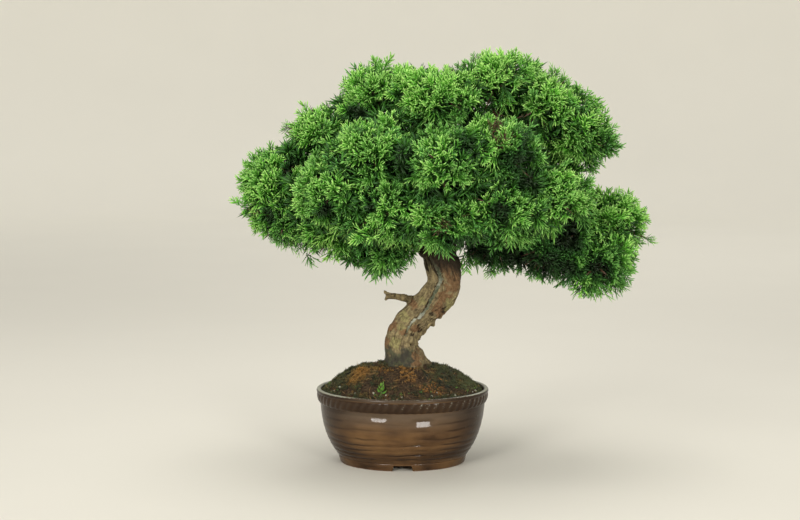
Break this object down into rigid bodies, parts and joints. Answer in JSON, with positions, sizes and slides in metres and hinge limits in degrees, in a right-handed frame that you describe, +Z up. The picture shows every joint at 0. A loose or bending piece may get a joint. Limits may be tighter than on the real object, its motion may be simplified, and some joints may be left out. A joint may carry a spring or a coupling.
{
  "type": "juniper bonsai in an oval pot",
  "caption": "Small juniper bonsai with a curved trunk and a broad crown of fine needle-like shoots, growing in mossy soil in an oval brown glazed pot.",
  "frame": {"origin": "on the surface the pot stands on, under the middle of the tree's outer box; the pot's own middle is 30 mm towards -X and 3 mm towards -Y of it", "axes": "+Z up, X along the pot's long side, -Y towards the front of the tree"},
  "size_m": [0.3002, 0.2142, 0.3044],
  "materials": {
    "glazed_pot": "glossy mottled brown glaze, thinner and paler on the lip",
    "screen_plastic": "matt black plastic mesh",
    "soil": "crumbly dark soil with baked clay grains",
    "moss": "short dense moss, dark green with dry brown tips",
    "seedling_leaf": "soft young leaf",
    "bark": "flaking reddish brown bark with grey weathered dead wood",
    "foliage": "fine scale-leaved shoots, bright green at the tips"
  },
  "bodies": {
    "root": {"pot": "glazed_pot", "drainage_screen_left": "screen_plastic", "drainage_screen_right": "screen_plastic", "soil": "soil", "moss_right": "moss", "moss_left": "moss", "seedling": "seedling_leaf", "trunk": "bark", "foliage_left_tip": "foliage", "foliage_left_low": "foliage", "foliage_left_shoulder": "foliage", "foliage_left_under": "foliage", "foliage_left_front": "foliage", "foliage_left_back": "foliage", "foliage_low_left": "foliage", "foliage_low_front": "foliage", "foliage_low_back": "foliage", "foliage_front_left": "foliage", "foliage_front_mid": "foliage", "foliage_front_low": "foliage", "foliage_top_left": "foliage", "foliage_top_mid": "foliage", "foliage_top_back": "foliage", "foliage_back_left": "foliage", "foliage_back_mid": "foliage", "foliage_top_right": "foliage", "foliage_right_shoulder": "foliage", "foliage_right_side": "foliage", "foliage_front_right": "foliage", "foliage_back_right": "foliage", "foliage_right_low": "foliage", "foliage_right_foot": "foliage", "foliage_right_under": "foliage", "foliage_low_mid": "foliage", "foliage_front_low_right": "foliage", "foliage_front_far_right": "foliage", "foliage_back_low_right": "foliage"}
  },
  "joints": []
}
